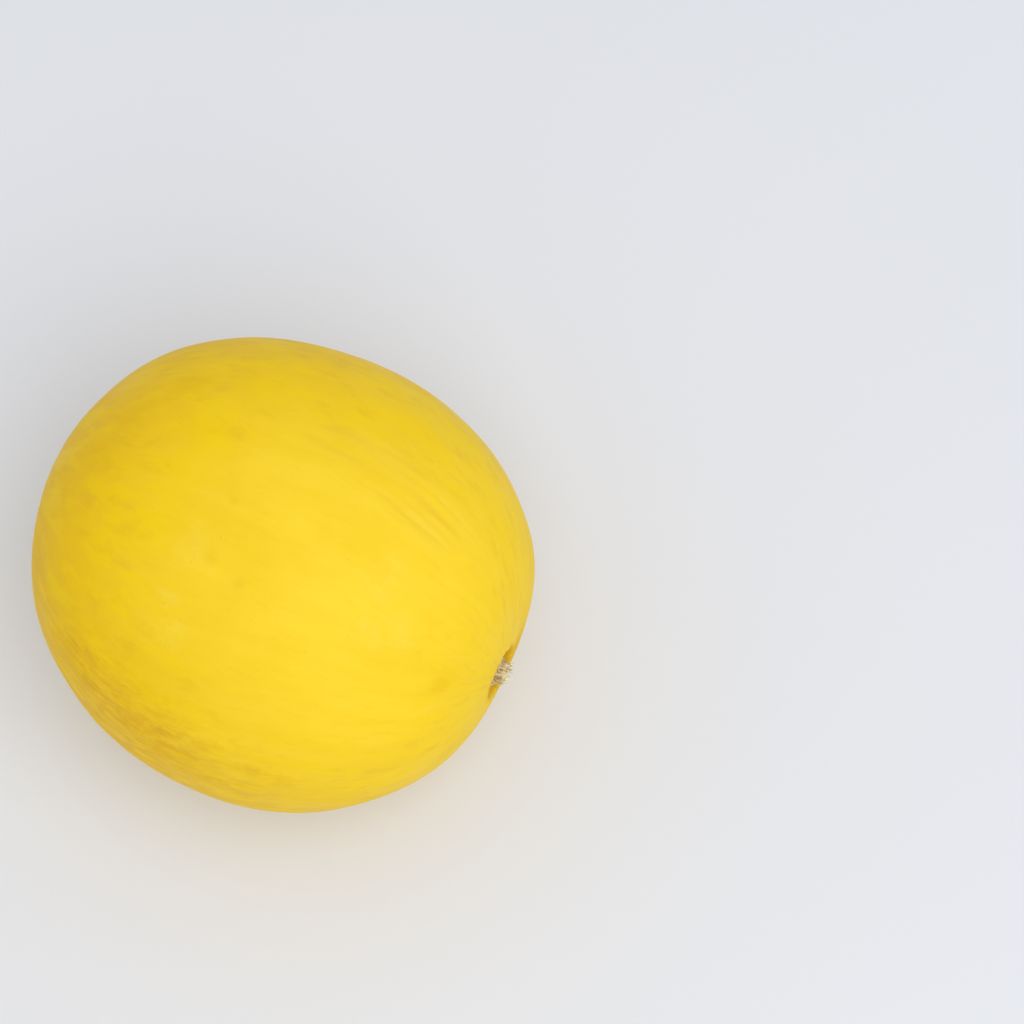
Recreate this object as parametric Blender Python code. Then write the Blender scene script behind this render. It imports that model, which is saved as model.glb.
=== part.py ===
"""A whole yellow canary melon lying on its side, with the corky end of its stalk.

Units are metres and +Z is up. The origin is the middle of the ground spot, on the surface
that the melon rests on. The long axis is level and runs along X, with the stem end at +X.
"""
import math

import bmesh
import bpy
from mathutils import Vector

# Rind, as a whole
FRUIT_HALF_LENGTH = 0.0851   # middle of the fruit to the blossom end
FRUIT_RADIUS = 0.0774        # at the widest ring
FULLNESS = 2.09              # exponent of the outline: 2 is an ellipse, more is squarer
GROUND_SPOT_RADIUS = 0.017   # across the fruit, where it rests

# Rind, stem end
SHOULDER_DROP = 0.0036       # how far the stem end is pressed in from the full outline
SHOULDER_SPREAD = 0.0350     # radius that the pressing reaches
SHOULDER_EDGE = 2.5          # exponent of its edge: 2 is a bell, more is flatter in the middle
HOLLOW_DEPTH = 0.0030        # floor of the stem hollow below the shoulder
HOLLOW_WALL = 0.0048         # width of the slope between the floor and the shoulder

# Rind, blossom end
BLOSSOM_DENT_DEPTH = 0.0007
BLOSSOM_DENT_RADIUS = 0.0070

# Swells and dents of a fruit that grew lying down, from the middle of the fruit:
# heading from +X and pitch from level in degrees, rise in metres, spread in degrees.
SWELLS = (
    (26.4, 0.0, 0.00089, 13.0),
    (-36.7, -20.2, -0.00109, 16.0),
    (-80.1, -21.4, 0.00084, 24.0),
    (102.6, 21.3, -0.00078, 15.0),
    (143.3, 20.2, 0.00045, 13.0),
    (-164.5, 4.2, -0.00102, 15.0),
    (-130.7, -9.2, -0.00083, 15.0),
)

# Stalk end
STALK_LENGTH = 0.0060        # foot to the highest of its broken fibres
STALK_RADIUS = 0.0041        # at the neck
STALK_FOOT_RADIUS = 0.0050
STALK_FOOT_HEIGHT = 0.0016   # height over which the foot narrows to the neck
STALK_HEAD_FLARE = 0.0005    # how much wider the broken end is than the neck
STALK_RIBS = 5               # ridges around it, one for each bundle of fibres
STALK_RIB_HEIGHT = 0.0005
STALK_LEAN = math.radians(12.0)
STALK_LEAN_TURN = math.radians(20.0)     # which way it leans: from +Y, toward +Z
STALK_BREAK_SLANT = math.radians(6.0)

# Fits
SEAT_MARGIN = 0.0008         # flat floor of the hollow around the foot of the stalk
SEAT_CLEARANCE = 0.0003      # foot of the stalk above the floor of the hollow

# Mesh density
RIND_MERIDIANS = 72
RIND_RINGS = 44
HOLLOW_RINGS = 4
STALK_MERIDIANS = 30
STALK_RINGS = 7


def clear_scene():
    """Removes every object of the file."""
    for item in list(bpy.data.objects):
        bpy.data.objects.remove(item, do_unlink=True)


def smoothstep(low, high, value):
    """0 below low, 1 above high, and a smooth rise between them."""
    share = min(max((value - low) / (high - low), 0.0), 1.0)
    return share * share * (3.0 - 2.0 * share)


def seat_radius():
    """Radius of the flat floor of the hollow, which the foot of the stalk stands over."""
    return STALK_FOOT_RADIUS + SEAT_MARGIN


def rim_radius():
    """Radius where the wall of the hollow meets the shoulder."""
    return seat_radius() + HOLLOW_WALL


def full_outline(radius):
    """Distance of the plain outline from the middle of the fruit, at a radius from the long axis."""
    share = min(radius / FRUIT_RADIUS, 1.0)
    return FRUIT_HALF_LENGTH * (1.0 - share ** FULLNESS) ** (1.0 / FULLNESS)


def shoulder(radius):
    """Height of the pressed-in stem end, before its hollow."""
    return full_outline(radius) - SHOULDER_DROP * math.exp(-((radius / SHOULDER_SPREAD) ** SHOULDER_EDGE))


def seat_height():
    """Height of the floor of the hollow along the long axis."""
    return shoulder(0.0) - HOLLOW_DEPTH


def stem_side(radius):
    """Height of the rind on the stem side: a flat floor, the wall of the hollow, the shoulder."""
    rise = smoothstep(seat_radius(), rim_radius(), radius)
    return seat_height() + (shoulder(radius) - seat_height()) * rise


def blossom_side(radius):
    """Height of the rind on the blossom side, with its shallow dent."""
    return BLOSSOM_DENT_DEPTH * math.exp(-((radius / BLOSSOM_DENT_RADIUS) ** 2)) - full_outline(radius)


def radius_at(turn):
    """Radius from the long axis, for an angle that runs from the stem end to the blossom end."""
    return FRUIT_RADIUS * math.sin(turn) ** (2.0 / FULLNESS)


def rind_profile():
    """Points of half the rind's outline, from the stem end to the blossom end."""
    hollow_radii = [0.0, 0.5 * seat_radius(), seat_radius()]
    for ring in range(1, HOLLOW_RINGS + 1):
        hollow_radii.append(seat_radius() + HOLLOW_WALL * ring / HOLLOW_RINGS)
    points = [Vector((stem_side(radius), 0.0, radius)) for radius in hollow_radii]
    first_turn = math.asin((rim_radius() / FRUIT_RADIUS) ** (FULLNESS / 2.0))
    for ring in range(1, RIND_RINGS):
        turn = first_turn + (math.pi - first_turn) * ring / RIND_RINGS
        side = stem_side if turn < math.pi / 2.0 else blossom_side
        points.append(Vector((side(radius_at(turn)), 0.0, radius_at(turn))))
    points.append(Vector((blossom_side(0.0), 0.0, 0.0)))
    return points


def direction(heading, pitch):
    """Unit vector for a heading from +X and a pitch from level, in degrees."""
    flat = math.cos(math.radians(pitch))
    turn = math.radians(heading)
    return Vector((flat * math.cos(turn), flat * math.sin(turn), math.sin(math.radians(pitch))))


def swell_rise(point):
    """How far the swells and dents move a point of the rind out from the middle."""
    rise = 0.0
    for heading, pitch, height, spread in SWELLS:
        away = math.degrees(point.angle(direction(heading, pitch)))
        rise += height * math.exp(-((away / spread) ** 2))
    return rise


def ground_level(mesh):
    """Height that cuts a ground spot of the wanted radius from the underside."""
    lowest = min(vertex.co.z for vertex in mesh.verts)
    return lowest + GROUND_SPOT_RADIUS ** 2 / (2.0 * FRUIT_RADIUS)


def flatten_underside(mesh):
    """Cuts the underside level, closes the cut, and gives the middle of the ground spot."""
    level = Vector((0.0, 0.0, ground_level(mesh)))
    everything = mesh.verts[:] + mesh.edges[:] + mesh.faces[:]
    cut = bmesh.ops.bisect_plane(
        mesh, geom=everything, dist=1e-7, plane_co=level, plane_no=(0.0, 0.0, 1.0), clear_inner=True)
    rim = [item for item in cut["geom_cut"] if isinstance(item, bmesh.types.BMEdge)]
    for vertex in {vertex for edge in rim for vertex in edge.verts}:
        vertex.co.z = level.z
    spot = bmesh.ops.contextual_create(mesh, geom=rim)["faces"][0]
    spot.normal_update()
    return spot.calc_center_median_weighted()


def round_object(name, mesh, material, parent):
    """Makes a smooth-shaded object of a mesh, with its faces pointing out."""
    bmesh.ops.recalc_face_normals(mesh, faces=mesh.faces[:])
    data = bpy.data.meshes.new(name)
    mesh.to_mesh(data)
    mesh.free()
    data.shade_smooth()
    data.set_sharp_from_angle(angle=math.radians(50.0))
    data.materials.append(material)
    item = bpy.data.objects.new(name, data)
    item.parent = parent
    bpy.context.collection.objects.link(item)
    return item


def plain_material(name, colour, roughness):
    """A Principled BSDF of one colour and roughness."""
    material = bpy.data.materials.new(name)
    material.use_nodes = True
    shader = material.node_tree.nodes["Principled BSDF"]
    shader.inputs["Base Color"].default_value = (*colour, 1.0)
    shader.inputs["Roughness"].default_value = roughness
    material.diffuse_color = (*colour, 1.0)
    return material


def rind_material():
    """Smooth waxy rind, warm yellow."""
    return plain_material("yellow_rind", (0.89, 0.61, 0.035), 0.42)


def cork_material():
    """Dry corky stalk, pale beige."""
    return plain_material("dry_cork", (0.60, 0.48, 0.30), 0.88)


def make_fruit(middle):
    """The rind outline turned about the long axis, swollen, and cut flat where it rests."""
    mesh = bmesh.new()
    outline = [mesh.verts.new(point) for point in rind_profile()]
    edges = [mesh.edges.new(pair) for pair in zip(outline, outline[1:])]
    bmesh.ops.spin(
        mesh, geom=outline + edges, cent=(0.0, 0.0, 0.0), axis=(1.0, 0.0, 0.0),
        dvec=(0.0, 0.0, 0.0), angle=2.0 * math.pi, steps=RIND_MERIDIANS, use_merge=True)
    bmesh.ops.remove_doubles(mesh, verts=mesh.verts[:], dist=1e-6)
    for vertex in mesh.verts:
        vertex.co += vertex.co.normalized() * swell_rise(vertex.co)
    middle.location = -flatten_underside(mesh)
    return round_object("melon_fruit", mesh, rind_material(), middle)


def stalk_radius(height):
    """Mean radius of the stalk end at a height above its foot."""
    narrowing = smoothstep(0.0, STALK_FOOT_HEIGHT, height)
    flare = STALK_HEAD_FLARE * smoothstep(STALK_FOOT_HEIGHT, STALK_LENGTH, height)
    return STALK_FOOT_RADIUS + (STALK_RADIUS - STALK_FOOT_RADIUS) * narrowing + flare


def stalk_ring(mesh, share):
    """One ring of the stalk end, at a share of the way from its level foot to its slanted break."""
    ring = []
    for step in range(STALK_MERIDIANS):
        turn = 2.0 * math.pi * step / STALK_MERIDIANS
        radius = stalk_radius(share * STALK_LENGTH) + 0.5 * STALK_RIB_HEIGHT * math.cos(STALK_RIBS * turn)
        side = radius * math.cos(turn)
        up = radius * math.sin(turn)
        drop = (stalk_radius(STALK_LENGTH) - up) * math.tan(STALK_BREAK_SLANT)
        height = share * (STALK_LENGTH - drop)
        lean = height * math.tan(STALK_LEAN) * share
        ring.append(mesh.verts.new((
            height, side + lean * math.cos(STALK_LEAN_TURN), up + lean * math.sin(STALK_LEAN_TURN))))
    return ring


def make_stalk(middle):
    """The dry, broken-off end of the stalk, standing over the floor of the stem hollow."""
    mesh = bmesh.new()
    rings = [stalk_ring(mesh, share / STALK_RINGS) for share in range(STALK_RINGS + 1)]
    for lower, upper in zip(rings, rings[1:]):
        for step in range(STALK_MERIDIANS):
            after = (step + 1) % STALK_MERIDIANS
            mesh.faces.new((lower[step], lower[after], upper[after], upper[step]))
    mesh.faces.new(rings[0])
    mesh.faces.new(rings[-1])
    stalk = round_object("stem_stub", mesh, cork_material(), middle)
    stalk.location = (seat_height() + SEAT_CLEARANCE, 0.0, 0.0)
    return stalk


def main():
    """Builds the melon about an empty at the middle of the fruit."""
    clear_scene()
    middle = bpy.data.objects.new("melon_middle", None)
    bpy.context.collection.objects.link(middle)
    make_fruit(middle)
    make_stalk(middle)


main()
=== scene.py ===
"""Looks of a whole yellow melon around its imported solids: rind, stalk end, floor, light and camera.

Units are metres, +Z is up, and the long axis runs along X with the stem end at +X.
"""

import math

import bpy
import numpy as np
from mathutils import Matrix, Vector, noise


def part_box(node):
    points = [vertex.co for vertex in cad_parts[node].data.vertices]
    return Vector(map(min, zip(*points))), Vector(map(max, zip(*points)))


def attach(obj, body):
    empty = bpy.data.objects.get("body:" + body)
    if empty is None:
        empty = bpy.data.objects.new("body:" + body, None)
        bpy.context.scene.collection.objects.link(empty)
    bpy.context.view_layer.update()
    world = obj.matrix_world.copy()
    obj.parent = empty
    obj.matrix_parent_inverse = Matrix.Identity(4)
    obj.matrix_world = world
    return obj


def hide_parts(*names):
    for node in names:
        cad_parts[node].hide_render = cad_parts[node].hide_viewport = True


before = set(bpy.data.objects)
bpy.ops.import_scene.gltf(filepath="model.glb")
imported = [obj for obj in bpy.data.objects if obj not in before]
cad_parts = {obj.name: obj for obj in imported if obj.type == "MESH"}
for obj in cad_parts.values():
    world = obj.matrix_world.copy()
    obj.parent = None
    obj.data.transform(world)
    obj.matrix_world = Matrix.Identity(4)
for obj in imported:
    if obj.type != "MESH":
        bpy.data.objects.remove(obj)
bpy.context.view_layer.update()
FRUIT_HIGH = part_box("melon_fruit")[1]
STALK_LOW, STALK_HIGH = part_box("stem_stub")

# Rind, the same outline as the solid that it covers
HALF_LENGTH = 0.0851
RADIUS = 0.0774
FULLNESS = 2.09
SHOULDER_DROP = 0.0036
SHOULDER_SPREAD = 0.0350
SHOULDER_EDGE = 2.5
SEAT_RADIUS = 0.0058
HOLLOW_DEPTH = 0.0030
HOLLOW_WALL = 0.0048
BLOSSOM_DENT_DEPTH = 0.0007
BLOSSOM_DENT_RADIUS = 0.0070

# Foot of the stalk, the same as the solid's
STALK_FOOT_RADIUS = 0.0050
STALK_RIB_HEIGHT = 0.0005
SEAT_CLEARANCE = 0.0003
SEAT_HEIGHT = HALF_LENGTH - SHOULDER_DROP - HOLLOW_DEPTH    # from the fruit's middle
MIDDLE = Vector((STALK_LOW.x - SEAT_CLEARANCE - SEAT_HEIGHT,
                 STALK_LOW.y + STALK_FOOT_RADIUS - 0.5 * STALK_RIB_HEIGHT,
                 FRUIT_HIGH.z - RADIUS))

# Swells and dents: heading from +X, pitch from level, rise in metres, spread in degrees
SWELLS = (
    (26.4, 0.0, 0.00089, 13.0),
    (-36.7, -20.2, -0.00109, 16.0),
    (-80.1, -21.4, 0.00084, 24.0),
    (102.6, 21.3, -0.00078, 15.0),
    (143.3, 20.2, 0.00045, 13.0),
    (-164.5, 4.2, -0.00102, 15.0),
    (-130.7, -9.2, -0.00083, 15.0),
)

# Rind mesh
RINGS = 228
MERIDIANS = 420
STEM_RINGS = 46              # of the rings, those that lie close together round the stem hollow
STEM_REACH = 0.023           # how far they reach along the rind
SCAR_RINGS = 24              # and the same round the blossom scar
SCAR_REACH = 0.010
GRAIN_WANDER = 0.0022        # how far the streaks stray from straight meridians
GROUND_SOFTNESS = 0.00025    # how gently the rind meets the surface that it rests on
RELIEF_ONLY = ("fold", "creased")         # fields that shape the rind and don't colour it

# Heights of the rind's fine relief, in metres
LONG_WAVES = 0.00024
SHORT_WAVES = 0.00010
GRAIN_RELIEF = 0.000016
FURROW_DEPTH = 0.00006
FOLD_DEPTH = 0.00009
WRINKLE_DEPTH = 0.00026
CREASED_LUMPS = 0.00042
WEATHER_RELIEF = 0.00010
DARK_MARK_DEPTH = 0.00006
PUCKER_DEPTH = 0.00075
LIP_HEIGHT, LIP_RAGGEDNESS = 0.00020, 0.00035
TRAIL_DEPTH, RIPPLE_DEPTH = 0.00005, 0.00016
SCAR_RING_HEIGHT, SCAR_DEPTH, SCAR_GRAIN = 0.00040, 0.00022, 0.00012

# Camera and light
CAMERA_AZIMUTH = math.radians(25.7)
CAMERA_ELEVATION = math.radians(68.0)
CAMERA_DISTANCE = 0.950
CAMERA_LENS = 99.5
CAMERA_SIDE_STEP = 0.0766    # how far the view's middle lies to the right of the fruit's middle
CAMERA_RISE = 0.0207         # and how far above it
KEY_HEADING, KEY_PITCH = -30.0, 58.0      # where the key light stands, in degrees
KEY_DISTANCE, KEY_SIZE, KEY_POWER = 2.2, 1.9, 24.0
ROOM_STRENGTH = 0.70
FLOOR_HALF = 3.0


# ---------------------------------------------------------------- shape of the rind

def smoothstep(low, high, value):
    """0 below low, 1 above high, and a smooth rise between them."""
    share = np.clip((value - low) / (high - low), 0.0, 1.0)
    return share * share * (3.0 - 2.0 * share)


def bell(distance, spread):
    """1 at no distance, falling off smoothly over the spread."""
    return np.exp(-((distance / spread) ** 2))


def full_outline(radius):
    """Distance of the plain outline from the middle, at a radius from the long axis."""
    return HALF_LENGTH * (1.0 - np.clip(radius / RADIUS, 0.0, 1.0) ** FULLNESS) ** (1.0 / FULLNESS)


def shoulder(radius):
    """Height of the pressed-in stem end, before its hollow."""
    return full_outline(radius) - SHOULDER_DROP * np.exp(-((radius / SHOULDER_SPREAD) ** SHOULDER_EDGE))


def stem_side(radius):
    """Height of the rind on the stem side."""
    rise = smoothstep(SEAT_RADIUS, SEAT_RADIUS + HOLLOW_WALL, radius)
    return SEAT_HEIGHT + (shoulder(radius) - SEAT_HEIGHT) * rise


def blossom_side(radius):
    """Height of the rind on the blossom side."""
    return BLOSSOM_DENT_DEPTH * bell(radius, BLOSSOM_DENT_RADIUS) - full_outline(radius)


def rind_profile():
    """Height, radius, outward normal and share of the way for each ring, from the stem end."""
    turn = np.linspace(0.0, math.pi, 6000)
    radius = RADIUS * np.sin(turn) ** (2.0 / FULLNESS)
    height = np.where(turn < math.pi / 2.0, stem_side(radius), blossom_side(radius))
    length = np.concatenate(([0.0], np.cumsum(np.hypot(np.diff(height), np.diff(radius)))))
    open_rings = RINGS - STEM_RINGS - SCAR_RINGS
    scar_start = length[-1] - SCAR_REACH
    ring_length = np.concatenate((np.linspace(0.0, STEM_REACH, STEM_RINGS, endpoint=False),
                                  np.linspace(STEM_REACH, scar_start, open_rings, endpoint=False),
                                  np.linspace(scar_start, length[-1], SCAR_RINGS + 1)))
    height, radius = np.interp(ring_length, length, height), np.interp(ring_length, length, radius)
    radius[0] = radius[-1] = 0.0
    along = np.gradient(height, ring_length), np.gradient(radius, ring_length)
    size = np.hypot(*along)
    return height, radius, along[1] / size, -along[0] / size, ring_length / length[-1]


def direction(heading, pitch):
    """Unit vector for a heading from +X and a pitch from level, in degrees."""
    turn, tilt = math.radians(heading), math.radians(pitch)
    return np.array((math.cos(tilt) * math.cos(turn), math.cos(tilt) * math.sin(turn), math.sin(tilt)))


def degrees_from(points, heading, pitch):
    """Angle between each point and a direction, as seen from the fruit's middle."""
    unit = points / np.linalg.norm(points, axis=-1, keepdims=True)
    return np.degrees(np.arccos(np.clip(unit @ direction(heading, pitch), -1.0, 1.0)))


def noise_at(points, size, octaves=1, shift=0.0):
    """Smooth noise from about -1 to 1 at each point, with features of about the size."""
    places = (points / size + shift).reshape(-1, 3).tolist()
    if octaves == 1:
        values = [noise.noise(place) for place in places]
    else:
        values = [noise.fractal(place, 1.0, 2.0, octaves) for place in places]
    return np.array(values).reshape(points.shape[:-1])


# Weathered band low on the near side: where it crosses the middle, how it slants, and its reach
BAND_ROUND = 163.0           # degrees round the long axis from +Y, over the top
BAND_SLANT = 170.0           # degrees a metre along the fruit
BAND_WIDTH = 10.0
BAND_MIDDLE = -0.013
BAND_REACH = 0.040
CREASE_OFFSET, CREASE_WIDTH = 14.0, 24.0  # creased stretch beside the band, in degrees from it
CREASE_MIDDLE, CREASE_REACH = -0.018, 0.048

# Marks: heading, pitch, radius in metres. Pale ones are rubbed marks, save the three at headings -27.0
# to -9.5, which are painted highlights; dark ones are ochre specks and blotches.
PALE_MARKS_AND_HIGHLIGHTS = ((-116.0, 68.5, 0.0044), (-107.5, 55.5, 0.0034), (-98.4, 49.2, 0.0050),
              (-9.5, 55.3, 0.0062), (-27.0, 49.0, 0.0052), (-19.4, 43.3, 0.0048),
              (60.0, 20.0, 0.0040), (150.0, -10.0, 0.0046), (-165.0, -25.0, 0.0036))
DARK_MARKS = ((-127.0, 82.3, 0.0014), (-100.2, 69.1, 0.0021), (-78.6, 66.0, 0.0014),
              (-18.0, 26.0, 0.0034), (-174.1, 44.5, 0.0064), (173.4, 48.5, 0.0070),
              (149.6, 53.1, 0.0060), (-148.3, 24.5, 0.0060), (26.9, 31.6, 0.0009),
              (-18.2, 37.2, 0.0008), (-9.1, 34.2, 0.0008), (95.0, 40.0, 0.0026),
              (165.0, 15.0, 0.0020), (120.0, -20.0, 0.0030), (-150.0, -12.0, 0.0016))
# Ripple trails, with painted light over them and ochre painted shade in their creases:
# degrees round the long axis, then start, end and width in metres
TRAILS = ((70.5, 0.000, 0.064, 0.0062), (64.5, 0.018, 0.062, 0.0040),
          (78.0, 0.020, 0.062, 0.0050), (-64.0, -0.020, 0.030, 0.0040),
          (205.0, -0.050, -0.012, 0.0036), (20.0, -0.040, 0.020, 0.0030))
TRAIL_FADE = 0.010           # length over which a trail starts or stops
COLLAR_ROUND = 128.0         # middle of the corky crack on the rim, in degrees round the long axis
COLLAR_WIDTH, COLLAR_SPREAD = 0.0007, 26.0
# Painted light: the rind is painted lemon on the side facing this heading and pitch, where the key light
# falls, gold away from it, and lemon again on the far opposite side.
LIT_SIDE_HEADING, LIT_SIDE_PITCH = -12.0, 53.0
KEY_LIT_HEADING, KEY_LIT_PITCH = -33.0, 61.0    # middle of the side the key light falls on, kept smooth and plain
KEY_LIT_INNER, KEY_LIT_OUTER = 24.0, 54.0       # degrees from it where the mottling, and a deeper yellow painted as shade, begin and are full
GROUND_HEADING, GROUND_PITCH = -100.0, -90.0
GROUND_INNER, GROUND_OUTER = 24.0, 44.0   # degrees across the pale ground spot's edge
SCAR_INNER, SCAR_OUTER = 0.0042, 0.0054   # edge of the blossom scar, as radii
HALO_INNER, HALO_OUTER = 0.0050, 0.0150   # edge of the darker rind round it
SCAR_RING_RADIUS, SCAR_RING_WIDTH, SCAR_DOT_RADIUS = 0.0036, 0.0007, 0.0011


def signed_degrees(angle):
    """Angle in degrees brought to between -180 and 180."""
    return (angle + 180.0) % 360.0 - 180.0


def marks_at(points, marks, ragged):
    """How strongly the nearest of some marks shows at each point, with ragged edges."""
    strength = np.zeros(points.shape[:-1])
    for heading, pitch, size in marks:
        away = np.radians(degrees_from(points, heading, pitch)) * RADIUS
        strength = np.maximum(strength, bell(away + 0.8 * size * ragged, size))
    return strength


class Rind:
    """The rind as a grid of rings and meridians, with the fields that shape and colour it."""

    def __init__(self):
        height, radius, normal_x, normal_r, share = rind_profile()
        turn = np.linspace(0.0, 2.0 * math.pi, MERIDIANS, endpoint=False)
        self.round_cos, self.round_sin = np.cos(turn)[None, :], np.sin(turn)[None, :]
        self.height = height[:, None] + 0.0 * self.round_cos
        self.radius = radius[:, None] + 0.0 * self.round_cos
        self.points = self.spun(height, radius)
        self.normals = self.spun(normal_x, normal_r)
        self.along = share[:, None] + 0.0 * self.round_cos
        self.round_angle = np.degrees(np.arctan2(self.round_sin, self.round_cos)) + 0.0 * self.radius
        self.fields = {}

    def spun(self, along_axis, from_axis):
        """A profile turned about the long axis."""
        return np.stack((along_axis[:, None] + 0.0 * self.round_cos,
                         from_axis[:, None] * self.round_cos,
                         from_axis[:, None] * self.round_sin), axis=-1)

    def grain(self, stretch):
        """Places for noise that is drawn out along the meridians, in metres round the widest ring."""
        return np.stack((RADIUS * self.round_cos + 0.0 * self.radius,
                         RADIUS * self.round_sin + 0.0 * self.radius,
                         self.along * math.pi * HALF_LENGTH / stretch), axis=-1)

    def swell(self):
        """Adds the swells and dents of the solid."""
        unit = self.points / np.linalg.norm(self.points, axis=-1, keepdims=True)
        rise = np.zeros(self.radius.shape)
        for heading, pitch, height, spread in SWELLS:
            rise += height * bell(degrees_from(self.points, heading, pitch), spread)
        self.points = self.points + unit * rise[..., None]

    def find_fields(self):
        """Works out where the rind is furrowed, weathered, rubbed, scratched, corky or pale, and where
        light and shade are painted on it.
        """
        fields, points = self.fields, self.points
        ends = smoothstep(0.35, 0.95, np.abs(self.height) / HALF_LENGTH)
        stem_end = self.height > 0.0
        fine = noise_at(self.grain(7.0), 0.0034, 2)
        broad = noise_at(self.grain(5.0), 0.0100, 2, 7.3)
        patchy = smoothstep(-0.25, 0.45, noise_at(points, 0.045, 2, 3.1))
        fields["furrow"] = bell(fine, 0.16) * patchy * (0.30 + 0.70 * ends)
        fields["fold"] = bell(broad, 0.22) * (0.25 + 0.75 * ends)
        off_band = signed_degrees(self.round_angle - BAND_ROUND - BAND_SLANT * self.height)
        streaky = noise_at(self.grain(5.0), 0.0052, 3, 11.0)
        off_band = off_band + 7.0 * noise_at(points, 0.030, 2, 37.0)
        band = bell(off_band, BAND_WIDTH) * bell(self.height - BAND_MIDDLE, BAND_REACH)
        fields["weather"] = np.clip(band * (0.85 + 1.2 * streaky), 0.0, 1.0)
        fields["creased"] = (bell(off_band - CREASE_OFFSET, CREASE_WIDTH)
                             * bell(self.height - CREASE_MIDDLE, CREASE_REACH))
        fields["wrinkle"] = fields["creased"] * bell(noise_at(self.grain(4.0), 0.0036, 2, 5.7), 0.20)
        fields["trail"] = self.trails()
        fields["ripple"] = bell(noise_at(self.grain(9.0), 0.0046, 1, 89.0), 0.22) * fields["trail"]
        ragged = noise_at(self.grain(2.2), 0.0040, 3, 19.0)
        fields["pale"] = marks_at(points, PALE_MARKS_AND_HIGHLIGHTS, ragged)
        fields["dark"] = marks_at(points, DARK_MARKS, ragged)
        rim = SEAT_RADIUS + HOLLOW_WALL
        wander = 0.0010 * noise_at(points, 0.0050, 2, 41.0)
        beside = signed_degrees(self.round_angle - COLLAR_ROUND)
        on_rim = bell(self.radius + wander - rim, COLLAR_WIDTH) * bell(beside, COLLAR_SPREAD)
        fields["collar"] = np.where(stem_end, on_rim, 0.0)
        # Painted shade: amber inside the stem hollow and, at half strength, on the rind beyond the far
        # side of its rim.
        far_side_of_rim = smoothstep(0.0, 0.8, np.cos(np.radians(self.round_angle - COLLAR_ROUND + 180.0)))
        inside = self.radius + 0.0016 * noise_at(self.grain(8.0), 0.0060, 2, 47.0)
        hollow_shade = np.maximum(1.0 - smoothstep(0.66 * rim, 1.16 * rim, inside),
                            0.5 * far_side_of_rim * (1.0 - smoothstep(rim, 2.3 * rim, inside)))
        fields["hollow"] = np.where(stem_end, hollow_shade, 0.0)
        ragged_radius = self.radius * (1.0 + 0.22 * noise_at(points, 0.0035, 2, 59.0))
        scarred = 1.0 - smoothstep(SCAR_INNER, SCAR_OUTER, ragged_radius)
        fields["scar"] = np.where(stem_end, 0.0, scarred)
        halo = 1.0 - smoothstep(HALO_INNER, HALO_OUTER, ragged_radius)
        fields["halo"] = np.where(stem_end, 0.0, halo)
        rings = bell(ragged_radius - SCAR_RING_RADIUS, SCAR_RING_WIDTH)
        rings = rings + bell(ragged_radius, SCAR_DOT_RADIUS)
        fields["ring"] = np.where(stem_end, 0.0, rings)
        # Painted light: lemon toward the lit side, gold elsewhere, lemon again on the far opposite side.
        toward_lit_side = np.cos(np.radians(degrees_from(points, LIT_SIDE_HEADING, LIT_SIDE_PITCH)))
        toward_lit_side = toward_lit_side + 0.10 * noise_at(points, 0.035, 2, 23.0)
        fields["painted_lit_side"] = smoothstep(-0.2, 0.95, toward_lit_side) + 0.8 * smoothstep(0.35, 0.9, -toward_lit_side)
        # Partly real mottling, partly painted shade: the rind is mottled and deeper yellow away from
        # where the key light falls.
        away = degrees_from(points, KEY_LIT_HEADING, KEY_LIT_PITCH) + 9.0 * noise_at(points, 0.030, 2, 79.0)
        fields["mottled"] = smoothstep(KEY_LIT_INNER, KEY_LIT_OUTER, away)
        under = degrees_from(points, GROUND_HEADING, GROUND_PITCH)
        under = under + 9.0 * noise_at(points, 0.022, 2, 29.0)
        fields["ground"] = 1.0 - smoothstep(GROUND_INNER, GROUND_OUTER, under)

    def trails(self):
        """How strongly a broken ripple trail shows along each stretch of rind."""
        strength = np.zeros(self.radius.shape)
        broken = 0.55 + 0.75 * noise_at(self.grain(6.0), 0.0040, 2, 43.0)
        for middle, start, end, width in TRAILS:
            wander = 0.0016 * noise_at(self.points, 0.022, 1, middle)
            across = np.radians(signed_degrees(self.round_angle - middle)) * self.radius + wander
            begun = smoothstep(start, start + TRAIL_FADE, self.height)
            window = begun * (1.0 - smoothstep(end - TRAIL_FADE, end, self.height))
            strength = np.maximum(strength, bell(across, width) * window * broken)
        return np.clip(strength, 0.0, 1.0)

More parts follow.
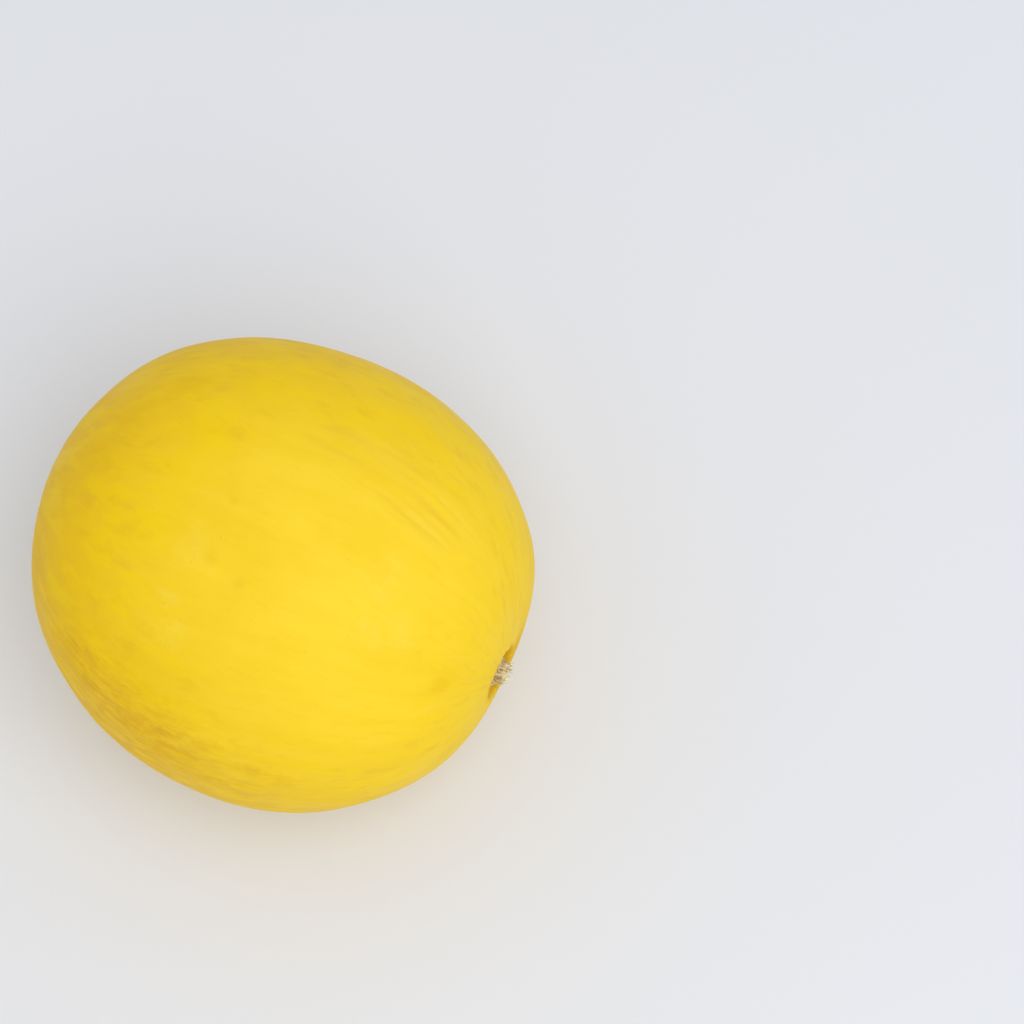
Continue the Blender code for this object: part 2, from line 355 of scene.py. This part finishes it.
    def relief(self):
        """Height of the fine relief along the normal."""
        fields, points = self.fields, self.points
        rise = LONG_WAVES * noise_at(points, 0.034, 2, 1.7)
        rise += SHORT_WAVES * noise_at(points, 0.014, 2, 2.9)
        rise += GRAIN_RELIEF * noise_at(self.grain(2.0), 0.0042, 2, 53.0)
        rise -= FURROW_DEPTH * fields["furrow"] + FOLD_DEPTH * fields["fold"]
        rise -= WRINKLE_DEPTH * fields["wrinkle"]
        rise += CREASED_LUMPS * fields["creased"] * noise_at(points, 0.016, 2, 83.0)
        rise += WEATHER_RELIEF * fields["weather"] * noise_at(self.grain(2.0), 0.0045, 2, 31.0)
        rise -= DARK_MARK_DEPTH * fields["dark"]
        pucker = noise_at(self.grain(40.0), 0.0170, 2, 13.0)
        beyond_foot = smoothstep(0.005, 0.009, self.radius)
        rise -= PUCKER_DEPTH * bell(pucker, 0.25) * fields["hollow"] * beyond_foot
        lip = noise_at(self.grain(2.0), 0.0075, 3, 17.0)
        rise += fields["collar"] * (LIP_HEIGHT + LIP_RAGGEDNESS * lip)
        rise -= TRAIL_DEPTH * fields["trail"] + RIPPLE_DEPTH * fields["ripple"]
        rise += SCAR_RING_HEIGHT * fields["ring"] - SCAR_DEPTH * fields["scar"]
        rise += SCAR_GRAIN * fields["scar"] * noise_at(points, 0.0012, 2, 73.0)
        return rise

    def shape(self):
        """Moves every point to its finished place in the part's own frame."""
        self.swell()
        self.find_fields()
        self.points = self.points + self.normals * self.relief()[..., None] + np.array(MIDDLE)
        above = self.points[..., 2] / GROUND_SOFTNESS
        self.points[..., 2] = GROUND_SOFTNESS * np.logaddexp(0.0, above)


def without_pole_copies(values):
    """A ring-by-meridian field as one row for each vertex, with each pole once."""
    flat = values.reshape(RINGS + 1, MERIDIANS, -1)
    return np.concatenate((flat[0, :1], flat[1:-1].reshape(-1, flat.shape[-1]), flat[-1:, 0]))


def rind_faces():
    """Faces of the grid: quads, with a fan of triangles at each pole."""
    def at(ring, meridian):
        return 1 + (ring - 1) * MERIDIANS + meridian % MERIDIANS
    last = 1 + (RINGS - 1) * MERIDIANS
    faces = [(0, at(1, step), at(1, step + 1)) for step in range(MERIDIANS)]
    for ring in range(1, RINGS - 1):
        faces += [(at(ring, step), at(ring + 1, step), at(ring + 1, step + 1), at(ring, step + 1))
                  for step in range(MERIDIANS)]
    faces += [(at(RINGS - 1, step), last, at(RINGS - 1, step + 1)) for step in range(MERIDIANS)]
    return faces


def keep_field(mesh, name, values):
    """Stores one number for each vertex, for the materials to read."""
    layer = mesh.attributes.new(name, "FLOAT", "POINT")
    layer.data.foreach_set("value", np.ascontiguousarray(values, dtype=np.float32).ravel())


def keep_places(mesh, name, values):
    """Stores one vector for each vertex, for the materials to read."""
    layer = mesh.attributes.new(name, "FLOAT_VECTOR", "POINT")
    layer.data.foreach_set("vector", np.ascontiguousarray(values, dtype=np.float32).ravel())


def make_rind(material):
    """The finished rind over the plain fruit solid."""
    rind = Rind()
    rind.shape()
    mesh = bpy.data.meshes.new("melon_rind")
    mesh.from_pydata(without_pole_copies(rind.points).tolist(), [], rind_faces())
    mesh.shade_smooth()
    for name, values in rind.fields.items():
        if name not in RELIEF_ONLY:
            keep_field(mesh, name, without_pole_copies(values))
    wander = np.stack([noise_at(rind.points, 0.020, 2, shift) for shift in (61.0, 67.0, 71.0)], axis=-1)
    keep_places(mesh, "grain", without_pole_copies(rind.grain(1.0) + GRAIN_WANDER * wander))
    mesh.materials.append(material)
    skin = bpy.data.objects.new("melon_rind", mesh)
    bpy.context.collection.objects.link(skin)
    return skin


# ---------------------------------------------------------------- the dry end of the stalk

STRAND_SEED = 11
STRAND_SIDES = 12
STRAND_STEPS = 16
OUTER_STRANDS = 6
CORE_STRANDS = 3
SPLINTERS = 11
SPLINTER_STEPS = 7
SPLINTER_RADIUS = 0.00044
FOOT_SHARE = 0.74            # share of the foot's radius at which the bundles start
OUTER_HEAD_RADIUS = 0.0028   # of the ring of bundles at the torn head
CORE_HEAD_RADIUS = 0.0012
BUNDLE_RADIUS = 0.00132      # of one bundle at the neck
BUNDLE_FOOT_GAIN = 0.00060   # how much thicker it is at its foot
CORK_GRAIN = 0.00018         # spacing of the fused stalk mesh
LUMP_HEIGHT, FIBRE_HEIGHT, CRACK_DEPTH = 0.00012, 0.00009, 0.00030
FOOT_SINK = 0.0004           # how far the bundles start below the solid's foot
STALK_FOOT_X = STALK_LOW.x - FOOT_SINK
STALK_LENGTH = STALK_HIGH.x - STALK_LOW.x
STALK_LEAN = math.tan(math.radians(12.0))
STALK_LEAN_TURN = math.radians(20.0)      # which way it leans: from +Y, toward +Z


def stalk_point(height, turn, from_middle):
    """A place on the stalk: height over the rind, angle round it, distance from its leaning middle."""
    lean = height * STALK_LEAN * max(height, 0.0) / STALK_LENGTH
    return Vector((STALK_FOOT_X + height,
                   MIDDLE.y + from_middle * math.cos(turn) + lean * math.cos(STALK_LEAN_TURN),
                   MIDDLE.z + from_middle * math.sin(turn) + lean * math.sin(STALK_LEAN_TURN)))


def add_strand(build, path, widths):
    """Adds a closed, tapering round strand that follows a path."""
    rings = []
    for step, (place, width) in enumerate(zip(path, widths)):
        ahead = path[min(step + 1, len(path) - 1)] - path[max(step - 1, 0)]
        frame_turn = ahead.to_track_quat("Z", "Y")
        ring = []
        for side in range(STRAND_SIDES):
            turn = 2.0 * math.pi * side / STRAND_SIDES
            edge = frame_turn @ Vector((math.cos(turn), math.sin(turn), 0.0))
            rough = 1.0 + 0.22 * noise.noise((place + edge * width) / 0.0011)
            ring.append(place + edge * width * rough)
        rings.append(ring)
    first = len(build["points"])
    for ring in rings:
        build["points"] += ring
    for row in range(len(rings) - 1):
        for side in range(STRAND_SIDES):
            after = (side + 1) % STRAND_SIDES
            low, high = first + row * STRAND_SIDES, first + (row + 1) * STRAND_SIDES
            build["faces"].append((low + side, low + after, high + after, high + side))
    build["faces"].append(tuple(first + side for side in reversed(range(STRAND_SIDES))))
    top = first + (len(rings) - 1) * STRAND_SIDES
    build["faces"].append(tuple(top + side for side in range(STRAND_SIDES)))


def bundle_strand(build, rng, turn, head_radius, reach):
    """One bundle of fibres: wide at the foot, narrow at the neck, splayed and torn at the head."""
    path, widths = [], []
    twist = rng.uniform(-0.25, 0.25)
    splay = rng.uniform(0.0, 0.0007)
    thick = rng.uniform(0.90, 1.15)
    for step in range(STRAND_STEPS):
        share = step / (STRAND_STEPS - 1)
        foot = float(1.0 - smoothstep(0.0, 0.38, share))
        from_middle = head_radius + foot * (FOOT_SHARE * STALK_FOOT_RADIUS - head_radius)
        from_middle += splay * share ** 3
        path.append(stalk_point(share * reach, turn + twist * share, from_middle))
        tear = float(smoothstep(0.74, 1.0, share))
        widths.append(thick * (BUNDLE_RADIUS + BUNDLE_FOOT_GAIN * foot) * (1.0 - 0.60 * tear))
    add_strand(build, path, widths)


def splinter(build, rng):
    """A thin fibre that stands out of the torn head."""
    turn = rng.uniform(0.0, 2.0 * math.pi)
    from_middle = rng.uniform(0.0006, 0.0036)
    start = STALK_LENGTH * rng.uniform(0.45, 0.75)
    reach = rng.uniform(0.0014, 0.0028)
    lean = rng.uniform(-0.0002, 0.0010)
    top = min(start + reach, STALK_LENGTH + 0.0004)
    path, widths = [], []
    for step in range(SPLINTER_STEPS):
        share = step / (SPLINTER_STEPS - 1)
        height = start + (top - start) * share
        path.append(stalk_point(height, turn, from_middle + lean * share ** 2))
        widths.append(SPLINTER_RADIUS * (1.0 - 0.50 * share))
    add_strand(build, path, widths)


def fused(name, build):
    """The strands fused to one skin by a voxel remesh, as a new mesh."""
    rough = bpy.data.meshes.new(name + "_strands")
    rough.from_pydata([tuple(point) for point in build["points"]], [], build["faces"])
    holder = bpy.data.objects.new(name + "_strands", rough)
    bpy.context.collection.objects.link(holder)
    fuse = holder.modifiers.new("fuse", "REMESH")
    fuse.mode = "VOXEL"
    fuse.voxel_size = CORK_GRAIN
    bpy.context.view_layer.update()
    evaluated = holder.evaluated_get(bpy.context.evaluated_depsgraph_get())
    mesh = bpy.data.meshes.new_from_object(evaluated)
    mesh.name = name
    bpy.data.objects.remove(holder, do_unlink=True)
    bpy.data.meshes.remove(rough)
    return mesh


def vertex_numbers(collection, attribute):
    """A mesh's vertex vectors as an array."""
    values = np.empty(len(collection) * 3, dtype=np.float32)
    collection.foreach_get(attribute, values)
    return values.reshape(-1, 3).astype(float)


def smoothed(mesh, points, rounds):
    """Points moved to the middle of their neighbours a few times."""
    edges = np.empty(len(mesh.edges) * 2, dtype=np.int32)
    mesh.edges.foreach_get("vertices", edges)
    start, end = edges.reshape(-1, 2).T
    count = np.bincount(np.concatenate((start, end)), minlength=len(points))[:, None]
    for _ in range(rounds):
        total = np.zeros_like(points)
        np.add.at(total, start, points[end])
        np.add.at(total, end, points[start])
        points = total / count
    return points


def make_stalk_end(material):
    """The torn, corky end of the stalk: fused bundles of fibres with fine cracks along them."""
    rng = np.random.default_rng(STRAND_SEED)
    build = {"points": [], "faces": []}
    for step in range(OUTER_STRANDS):
        turn = 2.0 * math.pi * (step + rng.uniform(-0.22, 0.22)) / OUTER_STRANDS
        bundle_strand(build, rng, turn, OUTER_HEAD_RADIUS, STALK_LENGTH * rng.uniform(0.74, 1.03))
    for step in range(CORE_STRANDS):
        turn = 2.0 * math.pi * (step + rng.uniform(-0.2, 0.2)) / CORE_STRANDS
        bundle_strand(build, rng, turn, CORE_HEAD_RADIUS, STALK_LENGTH * rng.uniform(0.70, 0.92))
    for _ in range(SPLINTERS):
        splinter(build, rng)
    mesh = fused("stalk_end", build)
    points = vertex_numbers(mesh.vertices, "co")
    normals = vertex_numbers(mesh.vertices, "normal")
    stretched = points * np.array((0.22, 1.0, 1.0))
    cracks = bell(noise_at(stretched, 0.00085, 2, 3.3), 0.16)
    fibres = noise_at(stretched, 0.00055, 2, 6.1)
    lumps = noise_at(points, 0.0011, 2, 9.1)
    points += normals * (LUMP_HEIGHT * lumps + FIBRE_HEIGHT * fibres - CRACK_DEPTH * cracks)[:, None]
    # Depth of each crevice below the smoothed surface, used to paint shade into the crevices between
    # fibres.
    crevice_depth = ((smoothed(mesh, points, 14) - points) * normals).sum(axis=1)
    mesh.vertices.foreach_set("co", points.astype(np.float32).ravel())
    mesh.shade_smooth()
    keep_field(mesh, "cracks_and_crevice_shade", np.clip(smoothstep(0.00005, 0.00022, crevice_depth) + 0.5 * cracks, 0.0, 1.0))
    keep_field(mesh, "head", smoothstep(0.35, 0.95, (points[:, 0] - STALK_FOOT_X) / STALK_LENGTH))
    keep_places(mesh, "grain", points - np.array((STALK_FOOT_X, MIDDLE.y, MIDDLE.z)))
    mesh.materials.clear()
    mesh.materials.append(material)
    stalk = bpy.data.objects.new("stalk_end", mesh)
    bpy.context.collection.objects.link(stalk)
    return stalk


# ---------------------------------------------------------------- materials

def add_node(tree, kind, inputs=None, **settings):
    """Adds a node, with its settings and the values or links of its inputs."""
    made = tree.nodes.new(kind)
    for name, value in settings.items():
        setattr(made, name, value)
    for name, value in (inputs or {}).items():
        if isinstance(value, bpy.types.NodeSocket):
            tree.links.new(value, made.inputs[name])
        else:
            made.inputs[name].default_value = value
    return made


def field(tree, name):
    """One number from the mesh."""
    return add_node(tree, "ShaderNodeAttribute", attribute_name=name).outputs["Fac"]


def places(tree, name):
    """One vector from the mesh."""
    return add_node(tree, "ShaderNodeAttribute", attribute_name=name).outputs["Vector"]


def number(tree, operation, first, second=0.0, clamp=False):
    """A sum, product or other operation on two numbers."""
    return add_node(tree, "ShaderNodeMath", {0: first, 1: second}, operation=operation,
                    use_clamp=clamp).outputs[0]


def band_of(tree, value, low, high, out_low=0.0, out_high=1.0):
    """A smooth step of a value between two limits."""
    return add_node(tree, "ShaderNodeMapRange", {
        "Value": value, "From Min": low, "From Max": high, "To Min": out_low, "To Max": out_high,
    }, interpolation_type="SMOOTHSTEP").outputs["Result"]


def blend(tree, factor, first, second, mode="MIX"):
    """Two colours mixed by a factor."""
    made = add_node(tree, "ShaderNodeMix", data_type="RGBA", blend_type=mode)
    for place, value in ((0, factor), (6, first), (7, second)):
        if isinstance(value, bpy.types.NodeSocket):
            tree.links.new(value, made.inputs[place])
        else:
            made.inputs[place].default_value = value
    return made.outputs[2]


def painted(tree, under, mask, strength, paint):
    """A colour painted over another, through a mask and at a strength."""
    return blend(tree, number(tree, "MULTIPLY", mask, strength), under, paint)


def rough_noise(tree, vector, scale, detail, roughness=0.55):
    """Noise from 0 to 1 at a scale in features a metre."""
    return add_node(tree, "ShaderNodeTexNoise", {
        "Vector": vector, "Scale": scale, "Detail": detail, "Roughness": roughness,
    }).outputs["Fac"]


def new_group(name, inputs, outputs):
    """An empty shader node group with its sockets, and its input and output nodes."""
    group = bpy.data.node_groups.new(name, "ShaderNodeTree")
    for socket, kind, value in inputs:
        made = group.interface.new_socket(socket, in_out="INPUT", socket_type=kind)
        if value is not None:
            made.default_value = value
    for socket, kind in outputs:
        group.interface.new_socket(socket, in_out="OUTPUT", socket_type=kind)
    return group, group.nodes.new("NodeGroupInput"), group.nodes.new("NodeGroupOutput")


def growth_streaks_group():
    """Streaks drawn out along the grain: a mask of thin lines, and broad soft bands."""
    group, given, out = new_group("growth_streaks", (
        ("Grain", "NodeSocketVector", None), ("Along", "NodeSocketVector", (1.0, 1.0, 1.0)),
        ("Line Scale", "NodeSocketFloat", 200.0), ("Band Scale", "NodeSocketFloat", 60.0),
    ), (("Lines", "NodeSocketFloat"), ("Bands", "NodeSocketFloat")))
    drawn = add_node(group, "ShaderNodeVectorMath", {
        0: given.outputs["Grain"], 1: given.outputs["Along"]}, operation="MULTIPLY").outputs[0]
    fine = rough_noise(group, drawn, given.outputs["Line Scale"], 4.0)
    wide = rough_noise(group, drawn, given.outputs["Band Scale"], 2.0)
    group.links.new(band_of(group, fine, 0.50, 0.72), out.inputs["Lines"])
    group.links.new(band_of(group, wide, 0.38, 0.66), out.inputs["Bands"])
    return group


def pores_group():
    """Fine skin relief: soft pebbling with scattered pinholes."""
    group, given, out = new_group("skin_pores", (
        ("Place", "NodeSocketVector", None), ("Pebble Scale", "NodeSocketFloat", 900.0),
        ("Pore Scale", "NodeSocketFloat", 300.0),
    ), (("Height", "NodeSocketFloat"), ("Pores", "NodeSocketFloat")))
    pebbles = rough_noise(group, given.outputs["Place"], given.outputs["Pebble Scale"], 3.0, 0.5)
    cells = add_node(group, "ShaderNodeTexVoronoi", {
        "Vector": given.outputs["Place"], "Scale": given.outputs["Pore Scale"]})
    pinholes = band_of(group, cells.outputs["Distance"], 0.16, 0.05)
    chosen = band_of(group, rough_noise(group, given.outputs["Place"], 45.0, 2.0), 0.46, 0.62)
    pores = number(group, "MULTIPLY", pinholes, chosen)
    group.links.new(number(group, "SUBTRACT", pebbles, pores), out.inputs["Height"])
    group.links.new(pores, out.inputs["Pores"])
    return group


def place_group(tree, group, inputs):
    """A group placed in a material with its own values."""
    return add_node(tree, "ShaderNodeGroup", inputs, node_tree=group)


def new_material(name):
    """A material with its shader."""
    material = bpy.data.materials.new(name)
    material.use_nodes = True
    return material, material.node_tree, material.node_tree.nodes["Principled BSDF"]


def colour(red, green, blue):
    """A colour with full opacity."""
    return (red, green, blue, 1.0)


LEMON = colour(0.960, 0.670, 0.032)
GOLD = colour(0.880, 0.520, 0.004)
SAFFRON = colour(0.845, 0.550, 0.002)
DEEP_YELLOW = colour(0.955, 0.655, 0.002)
MUSTARD = colour(0.770, 0.470, 0.018)
OCHRE = colour(0.740, 0.390, 0.006)
TAN = colour(0.620, 0.290, 0.014)
AMBER = colour(0.520, 0.260, 0.008)
CREAM = colour(0.860, 0.700, 0.270)
PALE_YELLOW = colour(0.940, 0.740, 0.120)
CORK = colour(0.760, 0.620, 0.330)
CORK_PALE = colour(0.930, 0.860, 0.590)
SCAR_BROWN = colour(0.270, 0.160, 0.060)
CRACK_AND_SHADE_BROWN = colour(0.070, 0.040, 0.018)


def rind_material(streaks, pores):
    """Smooth waxy yellow rind with faint streaks, wear, marks and a corky collar.

    Golden to lemon by painted light, with painted highlights among the pale marks and painted shade in
    the stem hollow, on the sides away from the light and in the ripple creases.
    """
    material, tree, shader = new_material("waxy_yellow_rind")
    own = add_node(tree, "ShaderNodeTexCoord").outputs["Object"]
    grain = places(tree, "grain")
    streak = place_group(tree, streaks, {
        "Grain": grain, "Along": (1.0, 1.0, 0.16), "Line Scale": 420.0, "Band Scale": 120.0})
    skin = place_group(tree, pores, {"Place": own, "Pebble Scale": 1100.0, "Pore Scale": 330.0})
    blotch = band_of(tree, rough_noise(tree, own, 34.0, 4.0), 0.40, 0.66)
    # Painted light: gold turning to lemon toward the side the key light falls on.
    tint = blend(tree, field(tree, "painted_lit_side"), GOLD, LEMON)
    tint = painted(tree, tint, blotch, 0.24, SAFFRON)
    tint = painted(tree, tint, streak.outputs["Bands"], 0.17, SAFFRON)
    tint = painted(tree, tint, streak.outputs["Lines"], 0.16, SAFFRON)
    tint = painted(tree, tint, field(tree, "furrow"), 0.12, OCHRE)
    patch = place_group(tree, streaks, {
        "Grain": grain, "Along": (1.0, 1.0, 0.45), "Line Scale": 190.0, "Band Scale": 105.0})
    softened = band_of(tree, patch.outputs["Bands"], 0.0, 1.0, 0.30, 1.0)
    # Partly real mottling, partly painted shade: a deeper yellow and mustard lines on the sides away
    # from the key light.
    deep_yellow_shade = number(tree, "MULTIPLY", field(tree, "mottled"), softened)
    tint = painted(tree, tint, deep_yellow_shade, 0.60, DEEP_YELLOW)
    dull = number(tree, "MULTIPLY", field(tree, "mottled"), patch.outputs["Lines"])
    tint = painted(tree, tint, dull, 0.34, MUSTARD)
    mottled = band_of(tree, rough_noise(tree, own, 260.0, 4.0), 0.36, 0.62)
    hair = place_group(tree, streaks, {
        "Grain": grain, "Along": (1.0, 1.0, 0.07), "Line Scale": 640.0, "Band Scale": 330.0})
    cloudy = number(tree, "MULTIPLY", mottled, 0.55)
    patches = number(tree, "MAXIMUM", streak.outputs["Lines"], cloudy)
    weather = number(tree, "MULTIPLY", field(tree, "weather"), patches)
    tint = painted(tree, tint, weather, 0.85, OCHRE)
    worn = number(tree, "MULTIPLY", field(tree, "weather"), hair.outputs["Lines"])
    tint = painted(tree, tint, worn, 0.42, TAN)
    tint = painted(tree, tint, field(tree, "wrinkle"), 0.32, TAN)
    # Painted light and shade of the ripple trails: a pale yellow wash over them, ochre in their crease
    # lines.
    faint_hair = number(tree, "MULTIPLY", hair.outputs["Lines"], 0.5)
    ripple_crease_lines = number(tree, "MULTIPLY", field(tree, "trail"), faint_hair)
    trail = number(tree, "MAXIMUM", ripple_crease_lines, field(tree, "ripple"))
    tint = painted(tree, tint, field(tree, "trail"), 0.16, PALE_YELLOW)
    tint = painted(tree, tint, trail, 0.38, OCHRE)
    unmottled = band_of(tree, mottled, 0.9, 0.1, 0.35, 1.0)
    # Pale marks in lighter yellow, partly rubbed marks and partly painted highlights.
    pale = number(tree, "MULTIPLY", field(tree, "pale"), unmottled)
    tint = painted(tree, tint, pale, 0.23, PALE_YELLOW)
    tint = painted(tree, tint, field(tree, "dark"), 0.26, OCHRE)
    tint = painted(tree, tint, skin.outputs["Pores"], 0.18, OCHRE)
    tint = painted(tree, tint, field(tree, "ground"), 0.75, CREAM)
    # Painted shade: amber in the stem hollow and beyond the far side of its rim.
    tint = painted(tree, tint, field(tree, "hollow"), 0.80, AMBER)
    cracked = band_of(tree, rough_noise(tree, own, 1500.0, 3.0), 0.42, 0.60)
    cork = blend(tree, cracked, TAN, CORK)
    tint = blend(tree, number(tree, "MULTIPLY", field(tree, "collar"), 0.90, clamp=True), tint, cork)
    tint = painted(tree, tint, field(tree, "halo"), 0.35, AMBER)
    healed = number(tree, "ADD", number(tree, "MULTIPLY", field(tree, "ring"), 0.75),
                    number(tree, "MULTIPLY", cracked, 0.25), clamp=True)
    scar = blend(tree, healed, SCAR_BROWN, CORK)
    tint = painted(tree, tint, field(tree, "scar"), 0.90, scar)
    tree.links.new(tint, shader.inputs["Base Color"])
    dry = number(tree, "MAXIMUM", field(tree, "collar"), field(tree, "scar"))
    rough = band_of(tree, rough_noise(tree, own, 60.0, 3.0), 0.30, 0.70, 0.40, 0.50)
    rough = number(tree, "ADD", rough, number(tree, "MULTIPLY", weather, 0.12))
    rough = number(tree, "ADD", rough, number(tree, "MULTIPLY", dry, 0.40), clamp=True)
    tree.links.new(rough, shader.inputs["Roughness"])
    height = number(tree, "MULTIPLY", skin.outputs["Height"], 0.00006)
    sunken = number(tree, "MULTIPLY", streak.outputs["Lines"], 0.00003)
    height = number(tree, "SUBTRACT", height, sunken)
    height = number(tree, "SUBTRACT", height, number(tree, "MULTIPLY", ripple_crease_lines, 0.00010))
    crust = number(tree, "MULTIPLY", cracked, dry)
    height = number(tree, "ADD", height, number(tree, "MULTIPLY", crust, 0.0002))
    bump = add_node(tree, "ShaderNodeBump", {"Height": height, "Strength": 0.8, "Distance": 1.0})
    tree.links.new(bump.outputs["Normal"], shader.inputs["Normal"])
    shader.inputs["Specular IOR Level"].default_value = 0.08
    shader.inputs["IOR"].default_value = 1.45
    return material


def cork_material(streaks, pores):
    """Dry, fibrous stalk: beige with pale torn ends, dark cracks and painted shade in its crevices."""
    material, tree, shader = new_material("dry_stalk_cork")
    grain = places(tree, "grain")
    streak = place_group(tree, streaks, {
        "Grain": grain, "Along": (0.20, 1.0, 1.0), "Line Scale": 1700.0, "Band Scale": 600.0})
    skin = place_group(tree, pores, {"Place": grain, "Pebble Scale": 4200.0, "Pore Scale": 2200.0})
    tint = blend(tree, field(tree, "head"), CORK, CORK_PALE)
    tint = painted(tree, tint, streak.outputs["Bands"], 0.25, OCHRE)
    tint = painted(tree, tint, streak.outputs["Lines"], 0.34, SCAR_BROWN)
    # Dark brown in the cracks and, as painted shade, in every crevice.
    tint = painted(tree, tint, field(tree, "cracks_and_crevice_shade"), 0.80, CRACK_AND_SHADE_BROWN)
    tree.links.new(tint, shader.inputs["Base Color"])
    rough = band_of(tree, skin.outputs["Height"], 0.2, 0.8, 0.78, 0.95)
    tree.links.new(rough, shader.inputs["Roughness"])
    height = number(tree, "SUBTRACT", skin.outputs["Height"], streak.outputs["Lines"])
    bump = add_node(tree, "ShaderNodeBump", {"Height": number(tree, "MULTIPLY", height, 0.00006),
                                             "Strength": 0.9, "Distance": 1.0})
    tree.links.new(bump.outputs["Normal"], shader.inputs["Normal"])
    shader.inputs["Specular IOR Level"].default_value = 0.25
    return material


def floor_material():
    """Pale matte studio paper with the faintest unevenness."""
    material, tree, shader = new_material("pale_paper")
    own = add_node(tree, "ShaderNodeTexCoord").outputs["Object"]
    cloud = rough_noise(tree, own, 3.0, 2.0)
    tint = blend(tree, cloud, colour(0.775, 0.785, 0.807), colour(0.797, 0.807, 0.829))
    tree.links.new(tint, shader.inputs["Base Color"])
    fibres = rough_noise(tree, own, 900.0, 2.0)
    tree.links.new(band_of(tree, fibres, 0.3, 0.7, 0.75, 0.85), shader.inputs["Roughness"])
    shader.inputs["Specular IOR Level"].default_value = 0.2
    return material


# ---------------------------------------------------------------- floor, light and camera

def make_floor():
    """A wide flat sheet of paper under the melon."""
    corners = [(FLOOR_HALF * side, FLOOR_HALF * front, 0.0)
               for side, front in ((-1, -1), (1, -1), (1, 1), (-1, 1))]
    mesh = bpy.data.meshes.new("paper_floor")
    mesh.from_pydata(corners, [], [(0, 1, 2, 3)])
    mesh.materials.append(floor_material())
    floor = bpy.data.objects.new("paper_floor", mesh)
    bpy.context.collection.objects.link(floor)
    return floor


def view_axes():
    """Right, up and back-to-the-camera directions of the view."""
    turn, tilt = CAMERA_AZIMUTH, CAMERA_ELEVATION
    right = Vector((math.cos(turn), math.sin(turn), 0.0))
    back = Vector((math.sin(turn) * math.cos(tilt), -math.cos(turn) * math.cos(tilt), math.sin(tilt)))
    return right, back.cross(right), back


def make_camera():
    """The camera looks down on the melon, with the melon left of and below the middle of its view."""
    right, up, back = view_axes()
    lens = bpy.data.cameras.new("studio_camera")
    lens.lens = CAMERA_LENS
    lens.clip_start = 0.01
    camera = bpy.data.objects.new("studio_camera", lens)
    camera.location = MIDDLE + back * CAMERA_DISTANCE + right * CAMERA_SIDE_STEP + up * CAMERA_RISE
    camera.rotation_euler = Matrix((right, up, back)).transposed().to_euler()
    bpy.context.collection.objects.link(camera)
    bpy.context.scene.camera = camera


def softbox(name, heading, pitch, distance, size, power):
    """A square soft light that faces the melon from a heading and a pitch in degrees."""
    light = bpy.data.lights.new(name, "AREA")
    light.shape = "SQUARE"
    light.size = size
    light.energy = power
    box = bpy.data.objects.new(name, light)
    away = Vector(direction(heading, pitch))
    box.location = MIDDLE + away * distance
    box.rotation_euler = away.to_track_quat("Z", "Y").to_euler()
    bpy.context.collection.objects.link(box)


def make_light():
    """Plain soft studio light: one wide key overhead and to the right, and a pale room."""
    softbox("key_softbox", KEY_HEADING, KEY_PITCH, KEY_DISTANCE, KEY_SIZE, KEY_POWER)
    room = bpy.data.worlds.new("pale_room")
    room.use_nodes = True
    background = room.node_tree.nodes["Background"]
    background.inputs["Color"].default_value = colour(0.93, 0.95, 1.0)
    background.inputs["Strength"].default_value = ROOM_STRENGTH
    bpy.context.scene.world = room
    bpy.context.scene.view_settings.view_transform = "Standard"


def main():
    """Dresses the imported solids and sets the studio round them."""
    streaks, pores = growth_streaks_group(), pores_group()
    skin = make_rind(rind_material(streaks, pores))
    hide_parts("melon_fruit")
    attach(skin, "root")
    stalk = make_stalk_end(cork_material(streaks, pores))
    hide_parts("stem_stub")
    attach(stalk, "root")
    make_floor()
    make_camera()
    make_light()


main()
bpy.context.view_layer.update()
